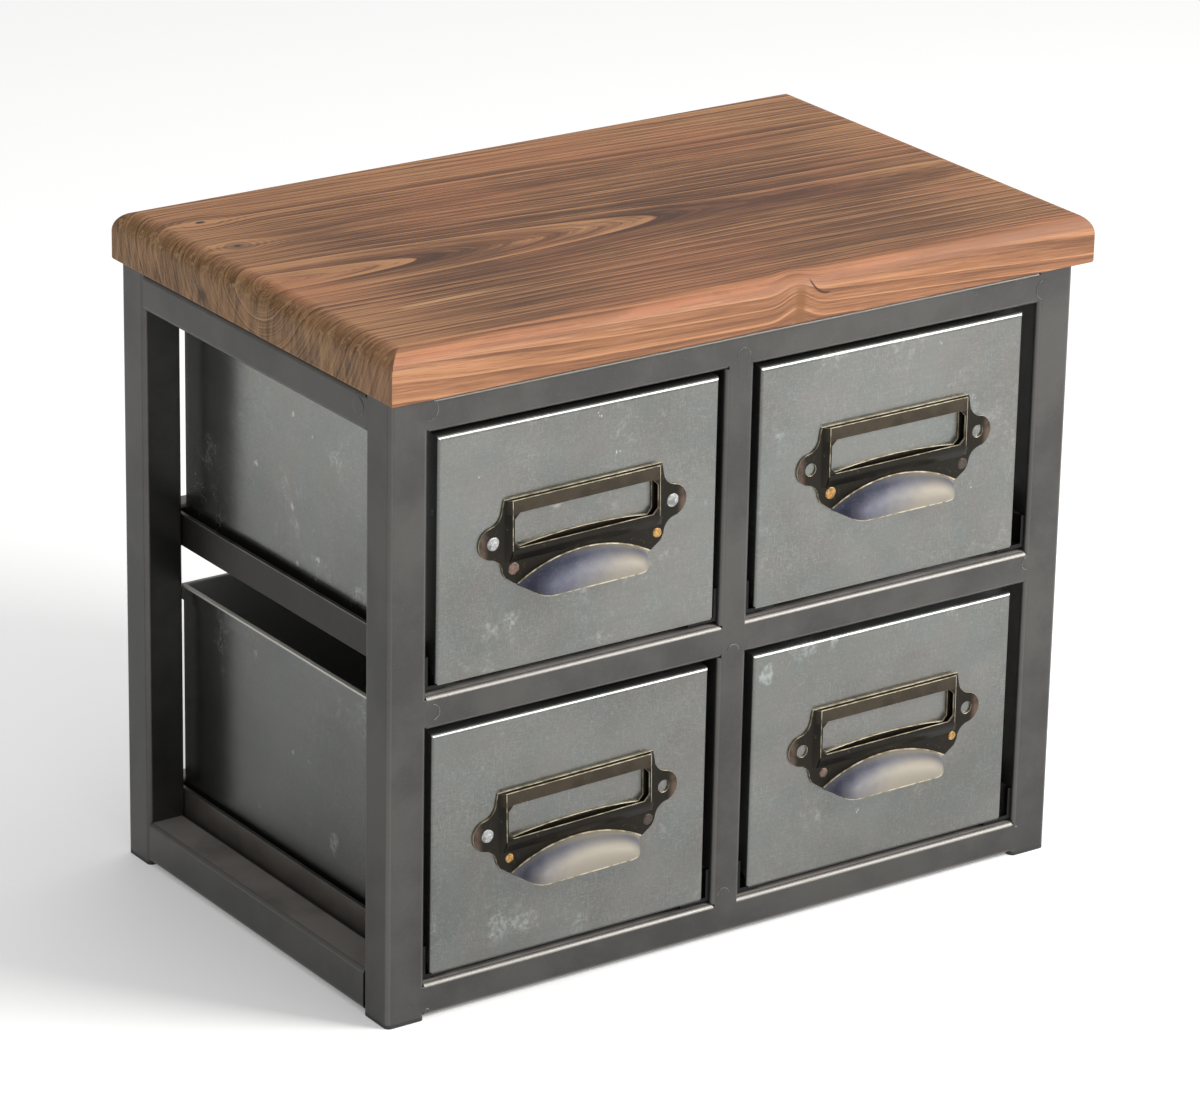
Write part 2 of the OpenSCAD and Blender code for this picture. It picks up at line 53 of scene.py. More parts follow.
class Shader:
    def __init__(self, name):
        self.material = bpy.data.materials.new(name)
        self.material.use_nodes = True
        self.tree = self.material.node_tree
        self.surface = self.tree.nodes["Principled BSDF"]
        self.place = self.node("ShaderNodeTexCoord").outputs["Object"]
        self.color = None

    def node(self, kind, inputs=(), **settings):
        made = self.tree.nodes.new(kind)
        for key, value in settings.items():
            setattr(made, key, value)
        for key, value in dict(inputs).items():
            self.feed(made.inputs[key], value)
        return made

    def feed(self, socket, value):
        if isinstance(value, bpy.types.NodeSocket):
            self.tree.links.new(value, socket)
        elif isinstance(value, (tuple, list)) and len(value) == 3 and socket.type == "RGBA":
            socket.default_value = (*value, 1)
        else:
            socket.default_value = value

    def math(self, operation, *values, clamp=False):
        made = self.node("ShaderNodeMath", enumerate(values), operation=operation, use_clamp=clamp)
        return made.outputs[0]

    def chain(self, operation, first, *others):
        for value in others:
            first = self.math(operation, first, value)
        return first

    def add(self, *values):
        return self.chain("ADD", *values)

    def sub(self, a, b):
        return self.math("SUBTRACT", a, b)

    def mul(self, *values):
        return self.chain("MULTIPLY", *values)

    def div(self, a, b):
        return self.math("DIVIDE", a, b)

    def most(self, *values):
        return self.chain("MAXIMUM", *values)

    def abs(self, a):
        return self.math("ABSOLUTE", a)

    def off(self, value, middle):  # how far a value is from a middle
        return self.abs(self.sub(value, middle))

    def sway(self, base, noise, amount):  # base, moved up and down by a noise
        return self.add(base, self.mul(self.sub(noise, 0.5), amount))

    def vector(self, operation, *values, out=0):
        return self.node("ShaderNodeVectorMath", enumerate(values), operation=operation).outputs[out]

    def axis(self, index, vector=None):
        return self.node("ShaderNodeSeparateXYZ", {0: vector or self.place}).outputs[index]

    def facing(self):
        return self.node("ShaderNodeNewGeometry").outputs["Normal"]

    def moved(self, scale, offset=(0, 0, 0)):
        made = self.node("ShaderNodeMapping", {"Vector": self.place, "Scale": scale, "Location": offset})
        return made.outputs[0]

    def noise(self, scale, detail=3, rough=0.5, stretch=(1, 1, 1), offset=(0, 0, 0), distort=0, vector=None):
        place = vector or self.moved(stretch, offset)
        return self.node("ShaderNodeTexNoise", {"Vector": place, "Scale": scale, "Detail": detail,
                                                "Roughness": rough, "Distortion": distort}).outputs["Fac"]

    # Round spots: one in each cell, a share of them shown, each with its own size and an uneven outline
    def spots(self, scale, size, soft, share, offset, uneven):
        place = self.moved((1, 1, 1), offset)
        wander = self.node("ShaderNodeTexNoise", {"Vector": place, "Scale": scale * 6, "Detail": 2.0})
        wander = self.vector("ADD", wander.outputs["Color"], (-0.5, -0.5, -0.5))
        push = self.node("ShaderNodeVectorMath", {0: wander, "Scale": uneven}, operation="SCALE").outputs[0]
        place = self.vector("ADD", place, push)
        cell = self.node("ShaderNodeTexVoronoi", {"Vector": place, "Scale": scale})
        pick = self.node("ShaderNodeSeparateColor", {0: cell.outputs["Color"]})
        radius = self.mul(self.add(pick.outputs[1], 0.3), size)
        edge = self.between(cell.outputs["Distance"], self.add(radius, soft), radius, smooth=False)
        return self.mul(edge, self.math("LESS_THAN", pick.outputs[0], share))

    # Goes from bottom to top as a value goes from low to high
    def between(self, value, low, high, top=1.0, bottom=0.0, smooth=True):
        sockets = {"Value": value, "From Min": low, "From Max": high, "To Min": bottom, "To Max": top}
        kind = "SMOOTHSTEP" if smooth else "LINEAR"
        return self.node("ShaderNodeMapRange", sockets, interpolation_type=kind).outputs[0]

    def blend(self, share, a, b, how="MIX"):
        made = self.node("ShaderNodeMix", {0: share, 6: a, 7: b}, data_type="RGBA", blend_type=how)
        return made.outputs[2]

    # Lays a colour over what is there
    def lay(self, share, color, how="MIX"):
        self.color = self.blend(share, self.color, color, how)

    def ramp(self, value, *stops):
        made = self.node("ShaderNodeValToRGB", {0: value})
        points = made.color_ramp.elements
        while len(points) < len(stops):
            points.new(0.5)
        for point, (at, color) in zip(points, stops):
            point.position = at
            point.color = (*color, 1)
        return made.outputs[0]

    def bump(self, height, strength, distance):
        made = self.node("ShaderNodeBump", {"Height": height, "Strength": strength, "Distance": distance})
        self.feed(self.surface.inputs["Normal"], made.outputs[0])

    # The surface's values, from a look and from what was worked out for it
    def set(self, look, **made):
        values = {**look, **made}
        if self.color:
            values["color"] = self.color
        for key, socket in (("color", "Base Color"), ("metal", "Metallic"), ("rough", "Roughness"),
                            ("specular", "Specular IOR Level")):
            if key in values:
                self.feed(self.surface.inputs[socket], values[key])
        return self.material


def paint(obj, material):
    obj.data.materials.clear()
    obj.data.materials.append(material)


# Square tube with a cloudy satin gunmetal finish. Its rounded edges are rubbed bright and carry a painted
# highlight, strongest where they face up, and dust lies on what faces up.
frameLook = {"color": (0.083, 0.081, 0.077), "dark": (0.058, 0.057, 0.055), "grit": (0.19, 0.187, 0.18),
             "rubbed": (0.25, 0.238, 0.222), "dust": (0.40, 0.37, 0.35), "metal": 0.72, "dustHides": 0.5,
             "rough": 0.31, "rubbedRough": 0.20, "bump": 0.14}


def frameSteel():
    s = Shader("frameSteel")
    look = frameLook
    cloud = s.noise(28, 4, 0.6)
    grit = s.noise(2600, 2, 0.6)
    s.color = s.blend(s.between(cloud, 0.35, 0.65), look["dark"], look["color"])
    s.lay(s.between(grit, 0.62, 0.74, 0.35), look["grit"])
    facing = s.facing()
    up = s.axis(2, facing)
    flat = s.most(*(s.abs(s.axis(i, facing)) for i in (0, 1)), s.abs(up))
    # Rounded edges made lighter, most where they face up: wear and a painted highlight
    rubbed = s.mul(s.between(up, 0.05, 0.30, bottom=0.25), s.between(grit, 0.3, 0.6, bottom=0.7))
    rubbed = s.mul(s.between(flat, 0.995, 0.93), rubbed)
    s.lay(rubbed, look["rubbed"])
    dust = s.mul(s.between(up, 0.96, 0.995), s.between(cloud, 0.3, 0.6, bottom=0.6))
    s.lay(dust, look["dust"])
    rough = s.add(s.mul(cloud, 0.16), look["rough"] - 0.08, s.mul(rubbed, look["rubbedRough"]))
    s.bump(grit, look["bump"], 0.2 * mm)
    return s.set(look, metal=s.sub(look["metal"], s.mul(dust, look["dustHides"])), rough=rough)


# Galvanised sheet with a weave of fine scratches, clouds, dried water stains and a few specks. A tray has
# painted light inside it, painted shade toward its bottom and a painted highlight along its upper edge.
sheetLook = {"color": (0.182, 0.185, 0.177), "dark": (0.136, 0.139, 0.133), "brushed": (0.130, 0.134, 0.126),
             "scratch": (0.31, 0.32, 0.31), "grain": (0.38, 0.39, 0.37), "stain": (0.38, 0.40, 0.38),
             "speck": (0.55, 0.57, 0.55), "inside": (0.52, 0.53, 0.51), "lip": (0.74, 0.72, 0.64),
             "warmTint": (1.025, 0.992, 0.975), "coolTint": (0.975, 1.005, 1.01),
             "metal": 0.88, "cleanMetal": 0.8,
             "front": {"brush": (6, 60, 900), "specks": 0.7, "gloss": 0.30, "seed": 0, "seedStep": 0.37},
             "tray": {"brush": (60, 6, 900), "specks": 0.4, "gloss": 0.23, "seed": 2, "seedStep": 0.29},
             "trayShade": {"upper": 1.20, "lower": 0.70}, "depthShade": (1.26, 0.80), "lipFrom": (1.0, 0.6)}


def galvanisedSheet(kind, index, box=None, shade=1.0):
    s = Shader("sheet" + kind.capitalize() + str(index))
    look, own = sheetLook, sheetLook[kind]
    seed = own["seed"] + index * own["seedStep"]
    cloud = s.noise(13, 4, 0.62, offset=(seed, seed * 0.7, 0))
    grain = s.noise(1500, 2, 0.7)
    brush = s.noise(1.0, 3, 0.6, stretch=own["brush"], offset=(seed, 0, seed))
    weft = s.noise(1.0, 3, 0.7, stretch=(420, 420, 2600), offset=(seed, 1, 0))
    warp = s.noise(1.0, 3, 0.7, stretch=(2600, 2600, 420), offset=(0, 2, seed))
    patch = s.noise(45, 4, 0.7, offset=(seed * 2, seed, 0))
    s.color = s.blend(s.between(cloud, 0.3, 0.7), look["dark"], look["color"])
    s.lay(s.between(brush, 0.35, 0.7, 0.16), look["brushed"])
    scratch = s.most(s.between(weft, 0.50, 0.72), s.between(warp, 0.50, 0.72))
    s.lay(s.mul(scratch, s.between(patch, 0.35, 0.7, 0.50, 0.10)), look["scratch"])
    s.lay(s.between(grain, 0.52, 0.75, 0.20), look["grain"])
    bloom = s.noise(24, 5, 0.72, offset=(seed * 3, 0, seed))
    mottle = s.noise(520, 3, 0.7)
    stain = s.mul(s.between(bloom, 0.57, 0.69), s.between(mottle, 0.40, 0.62, 0.60, 0.05))
    blots = s.spots(34, 0.085, 0.05, 0.24, (seed, seed, seed + 0.4), 0.009)
    blots = s.mul(blots, s.between(mottle, 0.35, 0.60, 0.75, 0.15))
    specks = s.spots(120, 0.10, 0.05, 0.10, (seed * 2, 0, seed), 0.006)
    s.lay(s.most(stain, blots), look["stain"])
    s.lay(s.mul(specks, own["specks"]), look["speck"])
    s.lay(1.0, grey(shade), "MULTIPLY")
    hue = s.noise(70, 4, 0.6, offset=(0, seed, seed))
    s.lay(1.0, s.ramp(hue, (0.36, look["warmTint"]), (0.64, look["coolTint"])), "MULTIPLY")
    rough = s.add(s.mul(cloud, 0.14), own["gloss"] - 0.07, s.mul(s.most(blots, stain), 0.12))
    metal = look["metal"]
    if box:
        low, high = box
        # Painted light on the tray's inside faces, made lighter and less metallic than its outside
        away = s.vector("ADD", s.place, tuple(-(a + b) / 2 for a, b in zip(low, high)))
        away = s.vector("MULTIPLY", away, (1, 1, 1.4))
        inside = s.between(s.vector("DOT_PRODUCT", away, s.facing(), out="Value"), 0.0, -4 * mm)
        s.lay(inside, s.blend(0.8, s.color, look["inside"]))
        # Painted shade toward the tray's bottom and painted reflection toward its top
        deep = s.between(s.axis(2), low.z, high.z, *look["depthShade"], smooth=False)
        s.lay(1.0, deep, "MULTIPLY")
        # A painted highlight along the tray's upper edge
        lip = s.between(s.axis(2), *(high.z - down * mm for down in look["lipFrom"]))
        s.lay(lip, look["lip"])
        metal = s.sub(metal, s.mul(s.most(inside, lip), look["cleanMetal"]))
    s.bump(s.add(brush, s.mul(cloud, 2.0)), 0.05, 0.6 * mm)
    return s.set(look, metal=metal, rough=rough)


# Dark antiqued plate, browner where hands and cards rub it. Places are in millimetres from the middle of
# the ears.
plateLook = {"dark": (0.009, 0.008, 0.006), "brown": (0.052, 0.041, 0.028), "grain": (0.12, 0.098, 0.068),
             "tip": (0.125, 0.085, 0.064), "metal": 0.5, "rough": 0.36, "specular": 0.2,
             "lipUp": (9.6, 10.6), "lipAcross": (34, 31), "tipAcross": (40.0, 43.5)}


def antiquedPlate():
    s = Shader("antiquedPlate")
    look = plateLook
    grain = s.noise(420, 4, 0.65)
    cloud = s.noise(120, 3, 0.6)
    across = s.abs(s.axis(0))

    def zone(value, key):
        return s.between(value, *(edge * mm for edge in look[key]))

    worn = s.add(s.mul(zone(s.axis(2), "lipUp"), zone(across, "lipAcross")), 0.16)
    worn = s.math("MULTIPLY", worn, s.between(cloud, 0.25, 0.7, bottom=0.5), clamp=True)
    s.color = s.blend(worn, look["dark"], look["brown"])
    s.lay(s.between(grain, 0.60, 0.76, 0.5), look["grain"])
    tip = s.mul(zone(across, "tipAcross"), s.between(cloud, 0.3, 0.6, bottom=0.3))
    s.lay(tip, look["tip"])
    s.bump(grain, 0.2, 0.2 * mm)
    return s.set(look)


# Metal rubbed bright along every edge of a pull, with a painted highlight where the edges catch the light
wornAndHighlitLook = {"color": (0.58, 0.51, 0.37), "dull": (0.20, 0.165, 0.10), "metal": 0.45, "rough": 0.38}


def wornEdge():
    s = Shader("wornEdge")
    patch = s.noise(260, 3, 0.6)
    s.color = s.blend(s.between(patch, 0.35, 0.6), wornAndHighlitLook["dull"], wornAndHighlitLook["color"])
    return s.set(wornAndHighlitLook)


# Finger cup with a painted reflection: dark blue at its left, turning to a cream silver at its right, shifted
# on some of the drawers. A painted darker band runs under its upper edge, where the sheet bends.
cupLook = {"dark": (0.058, 0.062, 0.100), "blue": (0.140, 0.142, 0.172), "silver": (0.285, 0.260, 0.215),
           "grain": (0.30, 0.29, 0.28), "metal": 0.35, "rough": 0.60, "specular": 0.3, "rightEnd": (16, 25),
           "clean": {"upper_left": -0.14, "upper_right": -0.04, "lower_left": 0.34, "lower_right": 0.20}}


def tintedCup(index, clean):
    s = Shader("tintedCup" + str(index))
    look = cupLook
    out = s.mul(s.axis(1), -1 / mm)
    cloud = s.noise(170, 4, 0.6)
    run = s.add(s.mul(s.axis(0), 1 / (44 * mm)), s.mul(s.axis(2), -1 / (60 * mm)))
    run = s.between(s.sway(run, cloud, 0.35), -0.35 - clean, 0.75 - clean)
    reflectionBand = s.add(s.between(out, 1.5, 4.4, 0.14, 0.95), s.between(out, 4.4, 8.8, 0.74))
    tone = s.mul(s.add(s.mul(reflectionBand, 0.55), 0.40), run)
    tone = s.sway(s.add(tone, s.mul(reflectionBand, 0.14)), cloud, 0.10)
    # Painted shade toward the cup's right end
    tone = s.sub(tone, s.between(s.axis(0), *(edge * mm for edge in look["rightEnd"]), 0.22))
    s.color = s.ramp(tone, (0.02, look["dark"]), (0.28, look["blue"]), (0.85, look["silver"]))
    grain = s.noise(1100, 3, 0.6)
    s.lay(s.between(grain, 0.55, 0.75, 0.3), look["grain"])
    rough = s.add(s.mul(grain, 0.16), look["rough"] - 0.08)
    s.bump(grain, 0.10, 0.2 * mm)
    return s.set(look, rough=rough)


# Small parts of one metal: its colour, how metallic and how rough it is, and how much of it sparkles
metalLook = {"weldOutline": ((0.24, 0.235, 0.225), 0.6, 0.4, 0.5),
             "zincScrew": ((0.5, 0.5, 0.48), 0.9, 0.35, 0.2),
             "solder": ((0.34, 0.345, 0.345), 0.6, 0.5, 0.9),
             "copperBraze": ((0.18, 0.115, 0.088), 0.4, 0.5, 0.3),
             "brassBraze": ((0.42, 0.235, 0.065), 0.35, 0.45, 0.6),
             "dullBraze": ((0.060, 0.043, 0.033), 0.4, 0.5, 0.2)}


def plainMetal(name):
    color, metal, rough, speckle = metalLook[name]
    s = Shader(name)
    grain = s.noise(1100, 3, 0.6)
    bright = tuple(min(1.0, c * 1.9 + 0.05) for c in color)
    dull = tuple(c * 0.45 for c in color)
    s.color = s.blend(s.between(grain, 0.45, 0.7, speckle), color, bright)
    s.lay(s.between(s.noise(420, 3, 0.6), 0.42, 0.62, 0.8), dull)
    s.bump(grain, 0.5, 0.2 * mm)
    return s.set({"metal": metal, "rough": rough})


# Stained softwood. The rings stand round a pith that runs just above the board, rising to the right,
# so that they cut its top in two long tongues and its ends in bowls. Places are in millimetres from
# the board's front left corner; depth is from its top.
boardLook = {"top": ((0.075, 0.036, 0.024), (0.174, 0.080, 0.039), (0.44, 0.222, 0.103)),
             "front": ((0.17, 0.072, 0.034), (0.31, 0.135, 0.062), (0.50, 0.24, 0.115)),
             "orange": (0.43, 0.165, 0.080), "halo": (0.17, 0.10, 0.062), "core": (0.035, 0.024, 0.016),
             "rim": (0.34, 0.130, 0.060), "ridge": (0.56, 0.215, 0.100), "rimRight": (0.25, 0.110, 0.056),
             "endDark": (0.115, 0.054, 0.022), "endLight": (0.53, 0.295, 0.132),
             "endNear": (0.42, 0.20, 0.10), "endWorn": (0.58, 0.37, 0.215),
             "metal": 0.0, "rough": 0.56, "specular": 0.35, "bump": 0.30,
             "pale": {"by": 0.32, "left": (70.0, 10.0), "back": (110.0, 185.0), "right": (240.0, 300.0)},
             "dusky": {"by": 0.26, "start": (135.0, 165.0), "end": (300.0, 215.0)},
             "pithY": 89.6, "pithTilt": -0.048, "pithHeight": 3.3, "pithRise": 0.0922, "pithTop": 20.5,
             "tongues": 9.3, "spacing": 3.7,
             "knots": ({"at": (20.1, 161.9), "reach": (15.0, 9.5), "core": (1.7, 1.0), "halo": None},
                       {"at": (17.7, 131.5), "reach": (14.0, 9.0), "core": (1.2, 0.8), "halo": (5.5, 4.2)}),
             "branch": {"at": 172.0, "reach": 7.0, "lift": 2.4, "wedge": 3.4, "color": (0.215, 0.090, 0.030)},
             "crack": {"at": (185.0, 0.5), "reach": (7.5, 8.5), "color": (0.06, 0.020, 0.012)},
             "endMark": {"at": (127.0, 14.5), "reach": (4.2, 4.0), "color": (0.075, 0.032, 0.018)},
             "resin": {"at": 41.0, "lean": 0.02, "start": (27.0, 34.0), "end": (80.0, 55.0),
                       "color": (0.60, 0.36, 0.18)}}


def stainedBoard():
    s = Shader("stainedBoard")
    low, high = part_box("wood_top")
    look = boardLook
    branch, crack, mark, streak = (look[key] for key in ("branch", "crack", "endMark", "resin"))
    pale, dusky = look["pale"], look["dusky"]
    toMm = s.vector("MULTIPLY", s.place, (1000, 1000, 1000))
    x = s.sub(s.axis(0, toMm), low.x * 1000)
    y = s.sub(s.axis(1, toMm), low.y * 1000)
    depth = s.sub(high.z * 1000, s.axis(2, toMm))
    facing = s.facing()
    front = s.between(s.mul(s.axis(1, facing), -1.0), 0.25, 0.8)
    end = s.between(s.abs(s.axis(0, facing)), 0.35, 0.85)

    def apart(values, at, reach):  # how far values are from a place, where reach counts as 1
        return [s.div(s.sub(value, a), r) for value, a, r in zip(values, at, reach)]

    def oval(at, reach):
        dx, dy = apart((x, y), at, reach)
        return s.add(s.mul(dx, dx), s.mul(dy, dy))

    def fadeOut(far):
        return s.math("POWER", 2.718, s.mul(far, -1.0))

    # How far each point is from the pith, bent round the knots
    wave = s.mul(s.sub(s.noise(1.0, 3, 0.5, stretch=(9, 30, 30)), 0.5), 5.0)
    across = s.sub(y, s.add(s.mul(x, look["pithTilt"]), look["pithY"]))
    across = s.add(across, s.mul(wave, s.sub(1.0, s.mul(front, 0.7))))
    swirl, cores, halos = 0.0, 0.0, 0.0
    for knot in look["knots"]:
        far = oval(knot["at"], knot["reach"])
        bell = fadeOut(far)
        across = s.sub(across, s.mul(bell, s.sub(y, knot["at"][1]), 0.9))
        rings = s.math("SINE", s.mul(s.math("SQRT", far), 30.0))
        swirl = s.add(swirl, s.mul(bell, s.add(rings, 0.6), 0.15))
        cores = s.most(cores, s.between(oval(knot["at"], knot["core"]), 2.2, 0.6))
        if knot["halo"]:
            halos = s.most(halos, s.between(oval(knot["at"], knot["halo"]), 1.3, 0.5, 0.6))
    dx = s.div(s.sub(x, branch["at"]), branch["reach"])
    rise = s.mul(fadeOut(s.mul(dx, dx)), s.between(y, 16.0, 3.0))
    up = s.add(s.mul(x, look["pithRise"]), look["pithHeight"])
    up = s.add(s.math("SMOOTH_MIN", up, look["pithTop"], 4.0), depth)
    ring = s.math("SQRT", s.add(s.mul(across, across), s.mul(up, up)))
    ring = s.add(ring, s.mul(depth, 0.25), s.mul(rise, branch["lift"]))

    # Rings: each darkens slowly and ends sharply, and some years are stronger
    side = s.math("SIGN", across)
    aside = s.node("ShaderNodeCombineXYZ", {0: ring, 1: s.mul(side, 40.0)}).outputs[0]
    drift = s.noise(0.07, 1, vector=aside)
    outer = s.most(s.sub(ring, look["tongues"] * 2), 0.0)
    inner = s.math("MINIMUM", s.div(ring, look["tongues"]), 2.0)
    ease = s.between(outer, 0.0, 10.0)
    count = s.add(inner, s.div(outer, look["spacing"]), s.mul(s.sub(drift, 0.5), 3.6, ease))
    whole = s.add(s.math("FLOOR", count), s.mul(side, 0.37))
    year = s.node("ShaderNodeTexWhiteNoise", {"W": whole}, noise_dimensions="1D").outputs["Value"]
    stops = ((0.0, 0.0), (0.10, 0.08), (0.42, 0.42), (0.84, 0.52), (0.93, 1.0), (0.985, 0.9), (1.0, 0.3))
    saw = s.ramp(s.math("FRACT", count), *((at, grey(level)) for at, level in stops))
    strength = s.add(s.mul(year, 0.65), 0.35)
    tone = s.add(s.mul(s.sub(saw, 0.45), strength), 0.42)
    tone = s.sway(tone, year, 0.16)

    # Fine lines that follow the rings, and light and dark regions
    follow = s.node("ShaderNodeCombineXYZ", {0: s.mul(x, 0.012), 1: ring, 2: s.mul(side, 9.0)}).outputs[0]
    lines = s.noise(0.9, 4, 0.65, vector=follow)
    fibre = s.noise(1.0, 4, 0.65, stretch=(24, 1400, 1400))
    patch = s.noise(1.0, 4, 0.6, stretch=(4.5, 80, 80), offset=(3, 0, 0))
    for noise, amount in ((lines, 1.7), (fibre, 0.75), (patch, 0.75)):
        tone = s.sway(tone, noise, amount)
    thread = s.noise(3.4, 3, 0.6, vector=follow)
    tone = s.sub(tone, s.between(thread, 0.56, 0.64, 0.26))
    tone = s.add(tone, s.between(thread, 0.44, 0.36, 0.20))
    lit = s.most(s.between(x, *pale["left"]), s.between(y, *pale["back"]))
    farRight = s.mul(s.between(x, *pale["right"], 0.7), s.between(y, 8.0, 30.0))
    tone = s.add(tone, s.mul(s.most(lit, farRight), pale["by"]))
    beyond = s.mul(s.between(x, *dusky["start"]), s.between(x, *dusky["end"]))
    beyond = s.mul(s.between(s.off(across, 2.0), 13.0, 3.0), beyond)
    tone = s.sub(tone, s.mul(beyond, dusky["by"]))
    tone = s.add(tone, swirl)
    s.color = s.ramp(tone, *zip((0.05, 0.45, 0.95), look["top"]))

    # Orange stain in patches, and more orange toward the front edge as painted warm light
    warmth = s.noise(1.0, 2, 0.5, stretch=(14, 22, 22), offset=(0, 5, 0))
    orangeStainAndGlow = s.most(s.mul(s.between(warmth, 0.42, 0.68), 0.42), s.between(y, 12.0, 1.0, 0.55))
    s.lay(s.mul(orangeStainAndGlow, s.between(tone, 0.1, 0.8, bottom=0.35)), look["orange"])

    # The front edge, with a painted highlight along its top rounding, broken and weaker to the right, and
    # the mark of a branch and the crack beside it
    # Painted light: the front face is given brighter colours than the top
    frontColor = s.ramp(tone, *zip((0.0, 0.45, 0.95), look["front"]))
    rim = s.mul(front, s.between(depth, 7.0, 3.0))
    ridge = s.mul(s.between(depth, 4.2, 2.8), s.between(depth, 0.8, 1.6))
    broken = s.noise(1.0, 3, 0.6, stretch=(35, 60, 60), offset=(0, 0, 2))
    ridge = s.mul(ridge, s.between(broken, 0.40, 0.56))
    frontColor = s.blend(s.mul(rim, 0.55), frontColor, look["rim"])
    frontColor = s.blend(s.mul(ridge, 0.4), frontColor, look["ridge"])
    frontColor = s.blend(s.mul(rim, s.between(x, 150.0, 290.0, 0.9)), frontColor, look["rimRight"])
    s.lay(front, frontColor)
    wedge = s.off(x, s.sub(branch["at"] + 2.0, s.mul(depth, 0.08)))
    wedge = s.mul(s.between(wedge, branch["wedge"], 0.8), front, s.between(depth, 3.0, 7.0, 0.85))
    s.lay(wedge, branch["color"])
    bend = [s.math("POWER", s.abs(far), 2.0) for far in apart((x, depth), crack["at"], crack["reach"])]
    bend = s.math("SQRT", s.add(*bend))
    bendX = crack["at"][0]
    gap = s.mul(s.between(s.off(bend, 1.0), 0.075, 0.02), s.between(x, bendX + 2.0, bendX - 0.5), front,
                s.between(depth, 2.5, 4.5))
    s.lay(gap, crack["color"])

    # The sawn ends, their grain colours made lighter as painted light in place of light from the left,
    # with a dark mark in the left one
    pores = s.noise(1700, 2, 0.6)
    muted = s.between(s.noise(45, 3, 0.6, offset=(0, 3, 0)), 0.35, 0.65, 0.32, 0.04)
    cut = s.add(s.mul(s.sub(saw, 0.4), muted), 0.46)
    cut = s.sway(cut, lines, 1.1)
    cut = s.add(cut, s.between(thread, 0.58, 0.66, -0.14))
    sawn = s.noise(1.0, 4, 0.7, stretch=(40, 330, 55), distort=0.4)
    for noise, amount in ((sawn, 1.3), (pores, 0.45), (s.noise(60, 3), 0.6)):
        cut = s.sway(cut, noise, amount)
    endColor = s.blend(s.between(cut, 0.05, 0.85), look["endDark"], look["endLight"])
    endColor = s.blend(s.between(y, 30.0, 4.0, 0.35), endColor, look["endNear"])
    spot = s.node("ShaderNodeCombineXYZ", enumerate(apart((y, depth), mark["at"], mark["reach"])))
    spot = s.vector("LENGTH", spot.outputs[0], out="Value")
    spot = s.between(s.add(spot, s.mul(cut, 0.5)), 1.35, 0.4, 0.85)
    endColor = s.blend(s.mul(spot, s.between(x, 20.0, 4.0)), endColor, mark["color"])
    worn = s.mul(s.between(depth, 8.5, 4.0), s.between(s.noise(330, 3, 0.7), 0.54, 0.66, 0.75))
    endColor = s.blend(worn, endColor, look["endWorn"])
    s.lay(end, endColor)

    # A resin streak on top, and the knots
    resin = s.between(s.off(y, s.add(streak["at"], s.mul(x, streak["lean"]))), 2.0, 0.4)
    resin = s.mul(resin, s.mul(s.between(x, *streak["start"]), s.between(x, *streak["end"])))
    resin = s.mul(resin, s.between(lines, 0.35, 0.6), s.sub(1.0, front))
    s.lay(s.mul(resin, 0.8), streak["color"])
    s.lay(halos, look["halo"])
    s.lay(cores, look["core"])
    s.bump(s.add(tone, s.mul(fibre, 0.5)), look["bump"], 0.5 * mm)
    return s.set(look, rough=s.sub(look["rough"], s.mul(tone, 0.1)))


capLook = {"color": (0.022, 0.022, 0.022), "rough": 0.5}


def footPlastic():
    s = Shader("footPlastic")
    s.bump(s.noise(900, 2), 0.2, 0.2 * mm)
    return s.set(capLook)


# Angle steel, with a painted highlight along its upper edge and its front end painted dark as the shade
# of the frame. The lower runners are painted lighter, as painted light where they stand in shade.
runnerLook = {"upper": (0.034, 0.030, 0.027), "lower": (0.150, 0.134, 0.122), "edge": (0.17, 0.165, 0.15),
              "frontEnd": (0.006, 0.006, 0.006), "metal": 0.6, "rough": 0.4}


def runnerSteel(level):
    low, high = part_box(level + "_left_outer_runner")
    s = Shader(level + "Runner")
    # Painted light: the lower runners' colour is lighter than the upper ones'
    plain = runnerLook[level]
    cloud = s.noise(60, 3, 0.6)
    s.color = s.blend(s.between(cloud, 0.3, 0.7), tuple(c * 0.75 for c in plain), plain)
    # Painted highlight along the upper edge
    edge = s.between(s.axis(2), high.z - 0.6 * mm, high.z - 0.3 * mm)
    s.lay(s.mul(edge, s.between(cloud, 0.25, 0.6, bottom=0.3)), runnerLook["edge"])
    # Painted shade at the front end
    s.lay(s.between(s.axis(1), low.y + 4 * mm, low.y + 1 * mm), runnerLook["frontEnd"])
    s.bump(s.noise(1500, 2), 0.2, 0.2 * mm)
    return s.set(runnerLook)


steel = frameSteel()
runnerMetal = {level: runnerSteel(level) for level in ("lower", "upper")}
frontSheet = {n: galvanisedSheet("front", i) for i, n in enumerate(drawers)}
# Painted light and shade: the upper trays are painted lighter and the lower trays darker
trayShade = sheetLook["trayShade"]
traySheet = {n: galvanisedSheet("tray", i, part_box(n + "_drawer_tray"), trayShade[n.split("_")[0]])
             for i, n in enumerate(drawers)}
darkPlate = antiquedPlate()
edgeHighlight = wornEdge()
cupMetal = {n: tintedCup(i, cupLook["clean"][n]) for i, n in enumerate(drawers)}
board = stainedBoard()
caps = footPlastic()
seam, zinc, solder, copper, brass, duskBraze = [plainMetal(name) for name in metalLook]
print("stage 2: materials made")


def linked(name, data):
    obj = bpy.data.objects.new(name, data)
    bpy.context.collection.objects.link(obj)
    return obj


